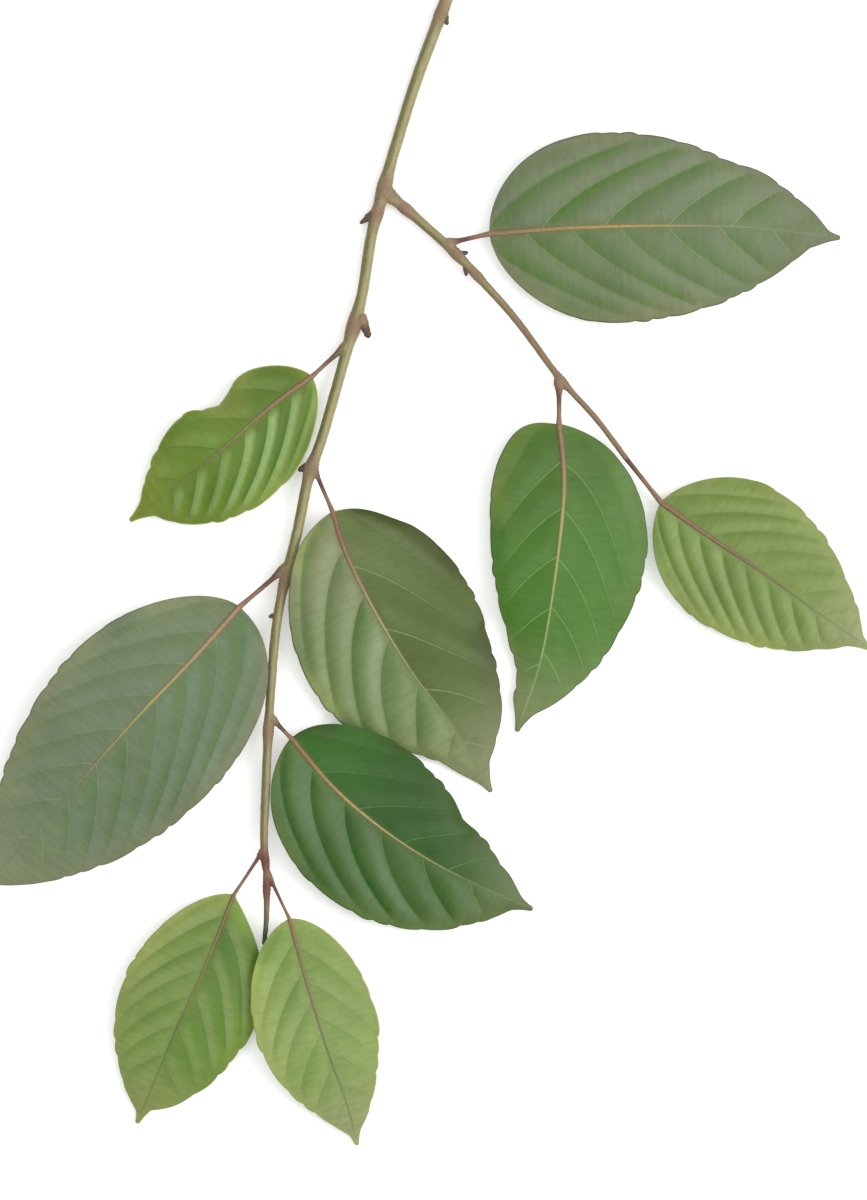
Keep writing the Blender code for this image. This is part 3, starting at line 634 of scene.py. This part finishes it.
def leaf_skin(look, colours, sizes):
    """Waxy skin of a broad leaf: satin, with painted shade and painted sheen on the panels between its
    veins, and a thin dark margin.
    """
    material, tree, shader = new_material("leaf_skin_" + look.name)
    place = add(tree, "ShaderNodeTexCoord").outputs["Object"]
    vein, streak, fade, rim = (add(tree, "ShaderNodeAttribute", attribute_name=name).outputs["Fac"]
                               for name in ("vein", "streak", "line", "rim"))
    # Broad zones on each half: near the stalk, in the middle, towards the margin and at the tip.
    zones = ("left", "left_base", "right_base", "left_edge", "right_edge", "tip")
    skin = paint(tree, (*look.right, 1), look, zones)
    # Painted shade and painted sheen: each panel is painted deeper green just past the vein behind it, as
    # shade, and paler where it turns to the light, as sheen.
    within = add(tree, "ShaderNodeMath", {0: vein}, operation="FRACT")
    sides = add(tree, "ShaderNodeValToRGB", {"Fac": within})
    set_stops(sides.color_ramp, ((0.0, look.shaded, 0), (0.04, look.shaded, 1), (0.14, look.shaded, 0.9),
                                 (0.46, look.shaded, 0), (0.47, look.lit, 0.1), (0.72, look.lit, 0.9),
                                 (0.93, look.lit, 0.9), (1.0, look.lit, 0)))
    streak = add(tree, "ShaderNodeMath", {0: streak, 1: sides.outputs["Alpha"]}, operation="MULTIPLY")
    skin = add(tree, "ShaderNodeMix", {0: streak, 6: skin, 7: sides}, data_type="RGBA").outputs[2]
    # Fine veins cross the blade like the rungs of a ladder, so their grain is stretched that way.
    weave = add(tree, "ShaderNodeAttribute", attribute_name="weave").outputs["Vector"]
    ladder = add(tree, "ShaderNodeTexNoise", {"Vector": weave, "Scale": 1.0, "Detail": 3.0,
                                              "Roughness": 0.6})
    fine = add(tree, "ShaderNodeTexNoise", {"Vector": place, "Scale": 1 / (LEAF_GRAIN * MM),
                                            "Detail": 2.0})
    broad = add(tree, "ShaderNodeTexNoise", {"Vector": place, "Scale": 1 / (PATCH_SIZE * MM),
                                             "Detail": 3.0})
    grain = add(tree, "ShaderNodeMath", {0: broad, 1: 0.35}, operation="MULTIPLY")
    grain = add(tree, "ShaderNodeMath", {0: fine, 1: 0.2, 2: grain}, operation="MULTIPLY_ADD")
    grain = add(tree, "ShaderNodeMath", {0: ladder, 1: 0.45, 2: grain}, operation="MULTIPLY_ADD")
    value = add(tree, "ShaderNodeMapRange", {"Value": grain, "To Min": 0.8, "To Max": 1.2, **GRAIN_RANGE})
    skin = add(tree, "ShaderNodeHueSaturation", {"Value": value, "Color": skin})
    # A side vein is a pale line, broken up where the rungs cross it.
    half = sizes.vein / 2 / (PANEL_WIDTH * MM)
    off = add(tree, "ShaderNodeMath", {0: vein, 1: 0.5}, operation="PINGPONG")
    line = add(tree, "ShaderNodeMapRange", {"Value": off, "From Min": half, "From Max": 0.4 * half},
               interpolation_type="SMOOTHSTEP")
    line = add(tree, "ShaderNodeMath", {0: line, 1: fade}, operation="MULTIPLY")
    broken = add(tree, "ShaderNodeMath", {0: ladder, 1: 0.7, 2: 0.15}, operation="MULTIPLY_ADD")
    share = add(tree, "ShaderNodeMath", {0: line, 1: broken}, operation="MULTIPLY")
    skin = add(tree, "ShaderNodeMix", {0: share, 6: skin, 7: (*look.vein, 1)}, data_type="RGBA").outputs[2]
    # Painted shade beside the midrib near the base, in the midrib-root colour, and the midrib's end colour
    # running on where it fades.
    skin = paint(tree, skin, look, ("root", "end"))
    # The margin is a thin dry line, uneven in width.
    ragged = add(tree, "ShaderNodeMath", {0: fine, 1: -0.3, 2: rim}, operation="MULTIPLY_ADD")
    share = add(tree, "ShaderNodeMapRange", {"Value": ragged, "From Min": 0.24, "From Max": 0.0,
                                             "To Max": 0.6}, interpolation_type="SMOOTHSTEP")
    skin = add(tree, "ShaderNodeMix", {0: share, 6: skin, 7: (*look.margin, 1)}, data_type="RGBA")
    skin = paint(tree, skin.outputs[2], colours, ("under",))
    tree.links.new(skin, shader.inputs["Base Color"])
    rough = add(tree, "ShaderNodeMapRange", {"Value": grain, "To Min": 0.42, "To Max": 0.58, **GRAIN_RANGE})
    tree.links.new(rough.outputs["Result"], shader.inputs["Roughness"])
    shader.inputs["Specular IOR Level"].default_value = 0.3
    relief = add(tree, "ShaderNodeMath", {0: line, 1: -0.5, 2: grain}, operation="MULTIPLY_ADD")
    bump = add(tree, "ShaderNodeBump", {"Height": relief, "Strength": 0.35, "Distance": 0.25 * MM})
    tree.links.new(bump.outputs["Normal"], shader.inputs["Normal"])
    return material


def rib_skin(look, colours):
    """Smooth skin of a stalk and midrib: reddish brown, then tan, then the green of the veins."""
    material, tree, shader = new_material("rib_skin_" + look.name)
    run = add(tree, "ShaderNodeAttribute", attribute_name="run").outputs["Fac"]
    ramp = add(tree, "ShaderNodeValToRGB", {"Fac": run})
    set_stops(ramp.color_ramp, ((0.0, colours.stalk, 1), (0.1, colours.stalk, 1),
                                (0.28, colours.stalk_end, 1), (0.42, colours.stalk_end, 1),
                                (0.54, look.root, 1), (0.68, look.middle, 1), (0.88, look.end, 1)))
    place = add(tree, "ShaderNodeTexCoord").outputs["Object"]
    grain = add(tree, "ShaderNodeTexNoise", {"Vector": place, "Scale": 1 / (RIB_GRAIN * MM), "Detail": 3.0})
    show_grain(tree, shader, ramp, grain, shades=(0.85, 1.15), strength=0.3, depth=0.1)
    shader.inputs["Roughness"].default_value = 0.5
    return material


def young_bark(colours):
    """Thin bark of a young shoot: olive tan and satin, with a painted shade down the side away from the
    light, browner and wrinkled around each node.
    """
    material, tree, shader = new_material("young_bark")
    layers = ("shade", "brown", "node", "red", "stalk", "dried", "pith")
    skin = paint(tree, (*colours.bark, 1), colours, layers)
    # Fibres run along the shoot, so the grain is stretched along it.
    weave = add(tree, "ShaderNodeAttribute", attribute_name="weave").outputs["Vector"]
    fibre = add(tree, "ShaderNodeTexNoise", {"Vector": weave, "Scale": 1.5, "Detail": 4.0})
    place = add(tree, "ShaderNodeTexCoord").outputs["Object"]
    speck = add(tree, "ShaderNodeTexNoise", {"Vector": place, "Scale": 1 / (BARK_GRAIN * MM),
                                             "Detail": 3.0})
    grain = add(tree, "ShaderNodeMath", {0: speck, 1: 0.4}, operation="MULTIPLY")
    grain = add(tree, "ShaderNodeMath", {0: fibre, 1: 0.6, 2: grain}, operation="MULTIPLY_ADD")
    show_grain(tree, shader, skin, grain, shades=(0.78, 1.2), strength=0.5, depth=0.15)
    node = add(tree, "ShaderNodeAttribute", attribute_name="node").outputs["Fac"]
    rough = add(tree, "ShaderNodeMapRange", {"Value": node, "To Min": 0.45, "To Max": 0.75})
    tree.links.new(rough.outputs["Result"], shader.inputs["Roughness"])
    return material


def dry_scale(colours):
    """Dry bud scales: dark brown and matt, paler at the root, with a blackened point."""
    material, tree, shader = new_material("dry_scale")
    run = add(tree, "ShaderNodeAttribute", attribute_name="run").outputs["Fac"]
    ramp = add(tree, "ShaderNodeValToRGB", {"Fac": run})
    set_stops(ramp.color_ramp, ((0.0, colours.node, 1), (0.4, colours.node, 1), (0.6, colours.bud, 1),
                                (0.88, colours.bud, 1), (1.0, colours.dried, 1)))
    place = add(tree, "ShaderNodeTexCoord").outputs["Object"]
    grain = add(tree, "ShaderNodeTexNoise", {"Vector": place, "Scale": 1 / (SCALE_GRAIN * MM),
                                             "Detail": 4.0})
    show_grain(tree, shader, ramp, grain, shades=(0.7, 1.3), strength=0.7, depth=0.2)
    shader.inputs["Roughness"].default_value = 0.75
    return material


def matt_paper(colours):
    """Plain pale sheet: no gloss, and a faint painted glow of its own that lifts the shadows and keeps them
    soft.
    """
    material, _, shader = new_material("matt_paper")
    shader.inputs["Base Color"].default_value = (*colours.floor, 1)
    shader.inputs["Roughness"].default_value = 0.9
    shader.inputs["Specular IOR Level"].default_value = 0.0
    shader.inputs["Emission Color"].default_value = (1, 1, 1, 1)
    shader.inputs["Emission Strength"].default_value = PAPER_GLOW
    return material


# ---------------------------------------------------------------- pieces


def new_piece(name, mesh, material, node):
    """A finished piece that stands for a node: it gets its own material, hangs from the root body and hides
    the node's solid.
    """
    obj = new_object(name, mesh, material)
    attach(obj, "root")
    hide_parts(node)


def uneven(points, size, depth):
    """A gentle unevenness: smooth noise with bumps of the given size and depth, at each point."""
    flat = points.reshape(-1, 3) / size
    return np.array([noise.noise(Vector(p)) for p in flat]).reshape(points.shape[:-1]) * depth


def buckle(points):
    """How far a blade lies above or below its even sheet."""
    return sum(uneven(points, size, depth) for size, depth in BUCKLES)


def blade_paint(facts, look, points):
    """How thickly each colour lies at each point of a blade, from 0 to 1."""
    station, rib, rim, vein = (facts[name] for name in ("station", "rib", "rim", "vein"))
    patches = 0.5 + uneven(points, PATCH_SIZE, 0.6)
    left = ease(-0.03, 0.03, facts["side"])
    base, edge = ease(0.45, 0.1, station), ease(9.0, 0.5, rim) * ease(0.2, 0.55, patches)
    # Painted shade and painted sheen: how strongly each panel shows them, varied from panel to panel.
    panel = (np.floor(vein) + 20 * np.round(left)).astype(int) % PANEL_CHANCES
    chance = np.random.default_rng(PANEL_SEED).uniform(0.55, 1.1, PANEL_CHANCES)[panel]
    strength = look.streaks[1] + (look.streaks[0] - look.streaks[1]) * left
    clear = ease(0.2, 3.0, rib) * ease(0.0, 5.0, rim) * ease(0.92, 0.7, station)
    return {
        "left": left,
        "left_base": left * base,
        "right_base": (1 - left) * base,
        "left_edge": left * edge,
        "right_edge": (1 - left) * edge,
        "tip": ease(0.62, 0.98, station),
        # painted shade and painted sheen of the quilted panels
        "streak": strength * chance * clear * (0.7 + 0.6 * patches),
        "line": (ease(0.5, 5.0, rim) * ease(24.0, 6.0, rib)
                 * ease(0.92, 0.8, station) * ease(0.3, 0.6, vein)),
        # painted shade: a faint midrib-root colour beside the midrib near the base, as shade along the
        # crease
        "root": 0.15 * ease(1.6, 0.3, rib) * ease(0.8, 0.2, station),
        "end": 0.6 * ease(0.4, 0.0, rib) * ease(0.99, 0.9, station),
    }


def blade_mesh(leaf, look, sizes):
    """A blade as one closed mesh: an upper and a lower skin, joined by the thin margin."""
    s = spaced(BLADE_ROWS, BLADE_CROWD)
    v = np.linspace(0, 1, BLADE_COLUMNS) ** COLUMN_CROWD
    middle, facts = whole_sheet(leaf, s, v, sizes, look)
    middle = middle + SHIFT
    middle[..., 2] += buckle(middle)
    rows, columns = middle.shape[:2]
    thin, thick = sizes.edge / MM, sizes.blade / MM
    body = (thin + (thick - thin) * ease(0.0, THIN_BAND, facts["rim"])) / 2
    upper, lower = middle.copy(), middle.copy()
    upper[..., 2] += body
    lower[..., 2] -= body
    index = np.arange(rows * columns).reshape(rows, columns)
    quads = np.stack([index[:-1, :-1], index[1:, :-1], index[1:, 1:], index[:-1, 1:]], axis=-1)
    quads = quads.reshape(-1, 4)
    rim = np.concatenate([index[0], index[1:, -1], index[-1, -2::-1], index[-2:0:-1, 0]])
    after = np.roll(rim, -1)
    below = rows * columns
    walls = np.stack([rim, after, after + below, rim + below], axis=-1)
    faces = np.concatenate([quads, quads[:, ::-1] + below, walls])
    mesh = bpy.data.meshes.new(leaf.name + "_blade")
    points = np.concatenate([upper.reshape(-1, 3), lower.reshape(-1, 3)]) * MM
    mesh.from_pydata(points.tolist(), [], faces.tolist())
    paints = blade_paint(facts, look, middle)
    paints.update(vein=facts["vein"], rim=facts["rim"])
    give(mesh, {name: np.tile(np.ravel(values), 2) for name, values in paints.items()})
    give(mesh, {"under": np.repeat([0.0, UNDERSIDE], below)})
    ladder = (facts["along"] / (sizes.ladder / MM), facts["rib"] * RUNG_STRETCH, paints["left"])
    give_weave(mesh, *(np.tile(np.ravel(axis), 2) for axis in ladder))
    face_outwards(mesh)
    return mesh


def stem_radius(stem, spots, length):
    """Radius at each distance along a stem: an even taper with a ring of extra wood at each node."""
    radii = np.interp(spots / length, np.linspace(0, 1, len(stem.taper)), stem.taper)
    for place, extra, half in stem.nodes:
        radii = radii + extra * np.exp(-((spots - place) / half) ** 2)
    return radii


def stem_at(name, spot):
    """The middle of a stem nearest to a place, the way it grows there, and its radius."""
    stem = STEMS[name]
    points, run = smooth_path(stem.path)
    nearest = int(np.argmin(np.linalg.norm(points[:, :len(spot)] - spot, axis=1)))
    onward = unit(points[min(nearest + 1, len(points) - 1)] - points[nearest - 1])
    return points[nearest], onward, float(stem_radius(stem, run[nearest], run[-1]))


def owner_of(leaf):
    """The stem that a leaf grows on."""
    return "side_twig" if leaf.name.startswith("twig") else "main_stem"


def cushion_end(leaf):
    """Where the stem's bark ends and the stalk's own skin begins."""
    node, base = np.array(leaf.node, float), np.array(leaf.midrib[0], float)
    run = unit(base - node)
    if leaf.name == CONTINUING_LEAF:
        return node
    _, onward, radius = stem_at(owner_of(leaf), node)
    cosine = float(np.dot(run, onward))
    clear = (radius + leaf.thick * cosine) / math.sqrt(1 - cosine**2)
    return node + run * (clear * CUSHION_RUN + CUSHION_SPREAD)


def stalk_mesh(leaf, look, sizes, material):
    """The stalk and the midrib as one tube, half sunk in the blade, which thins out to nothing."""
    start, base = cushion_end(leaf) + SHIFT, np.array(leaf.midrib[0], float) + SHIFT
    start = start - unit(base - start) * STALK_ROOT
    middle = (start + base) / 2 + np.array((0, 0, STALK_ARCH))
    s = np.linspace(0, MIDRIB_END, MIDRIB_STEPS)
    rib, _ = half_sheet(leaf, 1, s, np.linspace(0, 0.02, 2), sizes, look)
    rib = rib[:, 0] + SHIFT
    rib[:, 2] += buckle(rib) + MIDRIB_RISE - MIDRIB_SINK * ease(0.6, MIDRIB_END, s)
    distances = np.linspace(0, 1, STALK_STEPS)[:-1] * np.linalg.norm((rib[0] - start)[:2])
    before = points_at(smooth_path((start, middle, rib[0], rib[2])), distances)
    points = np.vstack([before, rib])
    run = np.concatenate([np.linspace(-1, 0, len(before), endpoint=False), s])
    radii = np.interp(run, *zip(*MIDRIB_TAPER)) * leaf.thick
    points[:, 2] += uneven(points, 3.0, 0.05)
    return tube(leaf.name + "_stalk", points, radii, material, STALK_SIDES, {"run": (run + 1) / 2})


def bark_mesh(name, sizes):
    """A stem with its cushions, fused into one skin, smoothed at the joins and wrinkled."""
    stem = STEMS[name]
    path = smooth_path(stem.path)
    length = path[1][-1]
    spots = np.arange(0, length, BARK_STEP)
    radii = stem_radius(stem, spots, length) + BARK_PROUD
    parts = [tube(name + "_core", points_at(path, spots), radii, None, BARK_SIDES)]
    for leaf in LEAVES:
        if owner_of(leaf) != name or leaf.name == CONTINUING_LEAF:
            continue
        root, end = np.array(leaf.node, float), cushion_end(leaf)
        radii = np.array(CUSHION_FLARE) * leaf.thick
        parts.append(tube("cushion", np.linspace(root, end, len(radii)), radii, None, 20))
    if name == "main_stem":
        collar = points_at(smooth_path(STEMS["side_twig"].path), [FORK_OVERLAP])[0]
        line = np.linspace(FORK, collar, len(FORK_RADII))
        parts.append(tube("branch", line, FORK_RADII, None, BARK_SIDES))
    work = bmesh.new()
    for part in parts:
        work.from_mesh(part)
        bpy.data.meshes.remove(part)
    joined = bpy.data.meshes.new(name + "_joined")
    work.to_mesh(joined)
    work.free()
    obj = new_object(name + "_joined", joined, None)
    fuse = obj.modifiers.new("fuse", "REMESH")
    fuse.mode = "VOXEL"
    fuse.voxel_size = sizes.voxel
    soften = obj.modifiers.new("soften", "SMOOTH")
    soften.factor = 0.5
    soften.iterations = BARK_SOFTENING
    mesh = plain_mesh(obj)
    mesh.name = name + "_bark"
    wrinkle_bark(mesh, name, path, sizes)
    face_outwards(mesh)
    return mesh


def wrinkle_bark(mesh, name, path, sizes):
    """Carves fibres and ring scars into a fused stem, puts it in place and stores what its bark needs."""
    points = np.empty(len(mesh.vertices) * 3)
    mesh.vertices.foreach_get("co", points)
    points = points.reshape(-1, 3) / MM
    normals = np.empty(len(points) * 3)
    mesh.vertex_normals.foreach_get("vector", normals)
    normals = normals.reshape(-1, 3)
    fine = points_at(path, np.arange(0, path[1][-1], SCAN_STEP))
    run = np.empty(len(points))
    for chunk in np.array_split(np.arange(len(points)), len(points) // 4000 + 1):
        gaps = np.linalg.norm(points[chunk, None, :2] - fine[None, :, :2], axis=2)
        run[chunk] = np.argmin(gaps, axis=1) * SCAN_STEP
    middle = points_at(path, run)
    ahead = points_at(path, run + SCAN_STEP) - points_at(path, run - SCAN_STEP)
    ahead /= np.linalg.norm(ahead, axis=1)[:, None]
    out = points - middle
    west = np.column_stack([ahead[:, 1], -ahead[:, 0], np.zeros(len(out))])
    turn = np.clip(np.sum(out * west, axis=1) / (np.linalg.norm(out, axis=1) + 1e-6), -1, 1)
    exact = run + np.sum(out * ahead, axis=1)
    close = np.zeros(len(points))
    for place, _, _ in STEMS[name].nodes:
        close = np.maximum(close, np.exp(-(((exact - place) / NODE_REACH) ** 2)))
    far = ease(1.5, 3.4, np.linalg.norm(out, axis=1))  # out on a cushion, but not on the twig's collar
    far = far * ease(6.0, 9.0, np.linalg.norm(points - FORK, axis=1))
    fibres = np.column_stack([exact * 0.12, turn * 3.0, np.sign(out[:, 2])])
    lines = np.array([noise.noise(Vector(p)) for p in fibres])
    lumps = np.array([noise.noise(Vector(p)) for p in points / 1.6])
    rings = np.sin(exact * math.tau / RING_SPACING + lumps * 2.0) * close**2
    depth = sizes.wrinkle / MM
    points += normals * (depth * (lines + 1.2 * lumps + 1.1 * rings))[:, None]
    points += SHIFT
    mesh.vertices.foreach_set("co", np.ravel(points * MM))
    mesh.update()
    onto_main = 1.0 if name == "main_stem" else 0.0  # only the main stem has a cut and a dried end
    brown = ease(150.0, 200.0, exact) * 0.3 if onto_main else ease(18.0, 60.0, exact) * 0.9 + 0.25
    length = path[1][-1]
    give(mesh, {
        # painted shade: the side of the stem away from the window light takes the shade colour, broken up
        # by the fibres
        "shade": ease(-0.25, 0.5, turn + 0.5 * lines),
        "brown": np.clip(brown, 0, 1),
        "node": 0.85 * close,
        "red": onto_main * close * ease(205.0, 222.0, exact),
        "stalk": far,
        "dried": onto_main * ease(length - 16.0, length - 1.0, exact),
        "pith": onto_main * ease(0.4, 0.15, exact),
    })
    give_weave(mesh, exact * 0.25, turn * 2.5, brown)


def bud_mesh(bud, material):
    """A bud or stub: a curved peg with swollen rings of scales, rooted in the bark."""
    middle, onward, radius = stem_at(bud.stem, bud.spot)
    outward = unit(np.array((-onward[1], onward[0], 0.0))) * bud.side
    lean = math.radians(bud.lean)
    steps = np.linspace(0, 1, BUD_STEPS)
    angle = lean * (1 - 0.35 * steps) + bud.curl * steps
    stride = (outward[None, :] * np.cos(angle)[:, None] + onward[None, :] * np.sin(angle)[:, None])
    start = middle + outward * (radius - BUD_ROOT * bud.profile[0])
    points = start + np.cumsum(stride, axis=0) * bud.length / len(steps)
    radii = np.interp(steps, np.linspace(0, 1, len(bud.profile)), bud.profile)
    scales = 1 + 0.1 * np.abs(np.sin(math.pi * BUD_SCALES * steps))
    rounded = np.sqrt(np.clip(1 - ((steps - BUD_ROUND) / (1.001 - BUD_ROUND)) ** 2, 0, 1))
    radii = radii * scales * np.where(steps > BUD_ROUND, rounded, 1) + 0.02
    return tube(bud.name, points + SHIFT, radii, material, 18,
                {"run": bud.dry + (1 - bud.dry) * steps})


# ---------------------------------------------------------------- operators


class SPRIG_OT_stage(bpy.types.Operator):
    """Add the floor, the soft lights and the camera that looks straight down"""

    bl_idname = "sprig.stage"
    bl_label = "Stage"

    def execute(self, context):
        scene, sizes = context.scene, context.scene.sprig_sizes
        low, high = (Vector(corner) for corner in CAD_BOUNDS)
        centre = (low + high) / 2
        mesh = bpy.data.meshes.new("floor")
        reach = FLOOR_REACH * (high - low).length
        corners = [(-reach, -reach), (reach, -reach), (reach, reach), (-reach, reach)]
        mesh.from_pydata([(x, y, low.z - FLOOR_GAP * MM) for x, y in corners], [], [(0, 1, 2, 3)])
        new_object("floor", mesh, matt_paper(scene.sprig_colours))
        for name, place, size, power in LIGHTS:
            add_light(name, place, centre, size, power)
        world = bpy.data.worlds.new("studio")
        world.use_nodes = True
        world.node_tree.nodes["Background"].inputs["Color"].default_value = (1, 1, 1, 1)
        world.node_tree.nodes["Background"].inputs["Strength"].default_value = ROOM_LIGHT
        scene.world = world
        scene.view_settings.view_transform = "Standard"
        view = bpy.data.cameras.new("overhead")
        camera = bpy.data.objects.new("overhead", view)
        scene.collection.objects.link(camera)
        camera.location = (SHIFT[0] * MM, SHIFT[1] * MM, sizes.camera)
        view.lens = view.sensor_width * (sizes.camera - centre.z) / (VIEW_HEIGHT * MM)
        view.clip_end = 20.0
        scene.camera = camera
        return {"FINISHED"}


def add_light(name, place, target, size, power):
    """A round soft light that faces the target."""
    light = bpy.data.lights.new(name, "AREA")
    light.shape = "DISK"
    light.size = size
    light.energy = power
    obj = bpy.data.objects.new(name, light)
    bpy.context.scene.collection.objects.link(obj)
    obj.location = Vector(place)
    obj.rotation_euler = (target - obj.location).to_track_quat("-Z", "Y").to_euler()


class SPRIG_OT_blades(bpy.types.Operator):
    """Make the blade of every leaf, with its teeth, veins and quilted panels"""

    bl_idname = "sprig.blades"
    bl_label = "Leaf blades"

    def execute(self, context):
        sizes, colours = context.scene.sprig_sizes, context.scene.sprig_colours
        for leaf in LEAVES:
            look = context.scene.sprig_leaves[leaf.name]
            mesh = blade_mesh(leaf, look, sizes)
            skin = leaf_skin(look, colours, sizes)
            new_piece(leaf.name + "_fine_blade", mesh, skin, leaf.name + "_blade")
        return {"FINISHED"}


class SPRIG_OT_stalks(bpy.types.Operator):
    """Make the stalk of every leaf, which runs on as its midrib"""

    bl_idname = "sprig.stalks"
    bl_label = "Stalks and midribs"

    def execute(self, context):
        scene = context.scene
        for leaf in LEAVES:
            look = scene.sprig_leaves[leaf.name]
            material = rib_skin(look, scene.sprig_colours)
            mesh = stalk_mesh(leaf, look, scene.sprig_sizes, material)
            new_piece(leaf.name + "_stalk_and_midrib", mesh, material, leaf.name + "_stalk")
        return {"FINISHED"}


class SPRIG_OT_bark(bpy.types.Operator):
    """Make the main stem and the side twig, with the cushions that carry the leaves"""

    bl_idname = "sprig.bark"
    bl_label = "Bark"

    def execute(self, context):
        scene = context.scene
        material = young_bark(scene.sprig_colours)
        for name in STEMS:
            new_piece(name + "_bark", bark_mesh(name, scene.sprig_sizes), material, name)
        return {"FINISHED"}


class SPRIG_OT_buds(bpy.types.Operator):
    """Make the buds, the spur and the stub of a lost leaf"""

    bl_idname = "sprig.buds"
    bl_label = "Buds"

    def execute(self, context):
        material = dry_scale(context.scene.sprig_colours)
        for bud in BUDS:
            new_piece(bud.name + "_scales", bud_mesh(bud, material), material, bud.name)
        return {"FINISHED"}


OPERATORS = (SPRIG_OT_stage, SPRIG_OT_blades, SPRIG_OT_stalks, SPRIG_OT_bark, SPRIG_OT_buds)


class SPRIG_PT_panel(bpy.types.Panel):
    """Buttons for the pieces, and the sizes and colours that they use"""

    bl_idname = "SPRIG_PT_panel"
    bl_label = "Leafy Sprig"
    bl_space_type = "VIEW_3D"
    bl_region_type = "UI"
    bl_category = "Sprig"

    def draw(self, context):
        for operator in OPERATORS:
            self.layout.operator(operator.bl_idname)
        for group in (context.scene.sprig_sizes, context.scene.sprig_colours):
            box = self.layout.box()
            for name in group.__annotations__:
                box.prop(group, name)
        for look in context.scene.sprig_leaves:
            box = self.layout.box()
            box.label(text=look.name)
            for name in look.__annotations__:
                box.prop(look, name)


GROUPS = (SprigSizes, SprigColours, LeafLook)


def register():
    for kind in (*GROUPS, *OPERATORS, SPRIG_PT_panel):
        bpy.utils.register_class(kind)
    bpy.types.Scene.sprig_sizes = bpy.props.PointerProperty(type=SprigSizes)
    bpy.types.Scene.sprig_colours = bpy.props.PointerProperty(type=SprigColours)
    bpy.types.Scene.sprig_leaves = bpy.props.CollectionProperty(type=LeafLook)


def unregister():
    del bpy.types.Scene.sprig_leaves
    del bpy.types.Scene.sprig_colours
    del bpy.types.Scene.sprig_sizes
    for kind in reversed((*GROUPS, *OPERATORS, SPRIG_PT_panel)):
        bpy.utils.unregister_class(kind)


def fill_looks(scene):
    """Gives every leaf its own entry, with the colours and relief from the table."""
    for name, look in LOOKS.items():
        entry = scene.sprig_leaves.add()
        entry.name = name
        for key, value in look._asdict().items():
            if isinstance(value, str):
                value = linear(value)
            elif key == "quilt":
                value = [height * MM for height in value]
            setattr(entry, key, value)


def main():
    register()
    fill_looks(bpy.context.scene)
    bpy.ops.sprig.stage()
    bpy.ops.sprig.blades()
    bpy.ops.sprig.stalks()
    bpy.ops.sprig.bark()
    bpy.ops.sprig.buds()


if __name__ == "__main__":
    main()
